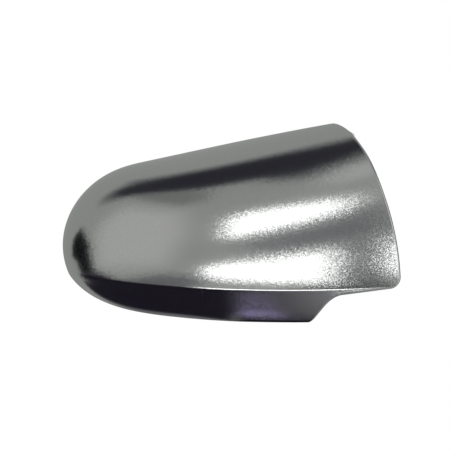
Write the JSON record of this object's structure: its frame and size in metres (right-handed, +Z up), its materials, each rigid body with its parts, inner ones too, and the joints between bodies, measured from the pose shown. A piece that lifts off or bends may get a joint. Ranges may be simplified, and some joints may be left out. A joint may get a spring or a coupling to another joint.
{
  "type": "wing mirror cover",
  "caption": "Moulded clip-on cover for a right-hand door mirror in satin chrome: a bowed face, a creased flat belly, an arm notch and snap hooks inside.",
  "frame": {"origin": "on the axis of the main locating peg, where it meets the plane of the rear rim", "axes": "+X towards the car door, +Y back into the mirror housing along the pegs, +Z up, as the cover sits on the car"},
  "size_m": [0.2278, 0.0768, 0.1346],
  "materials": {
    "satin_chrome": "satin"
  },
  "bodies": {
    "root": {"mirror_cover": "satin_chrome"}
  },
  "joints": []
}
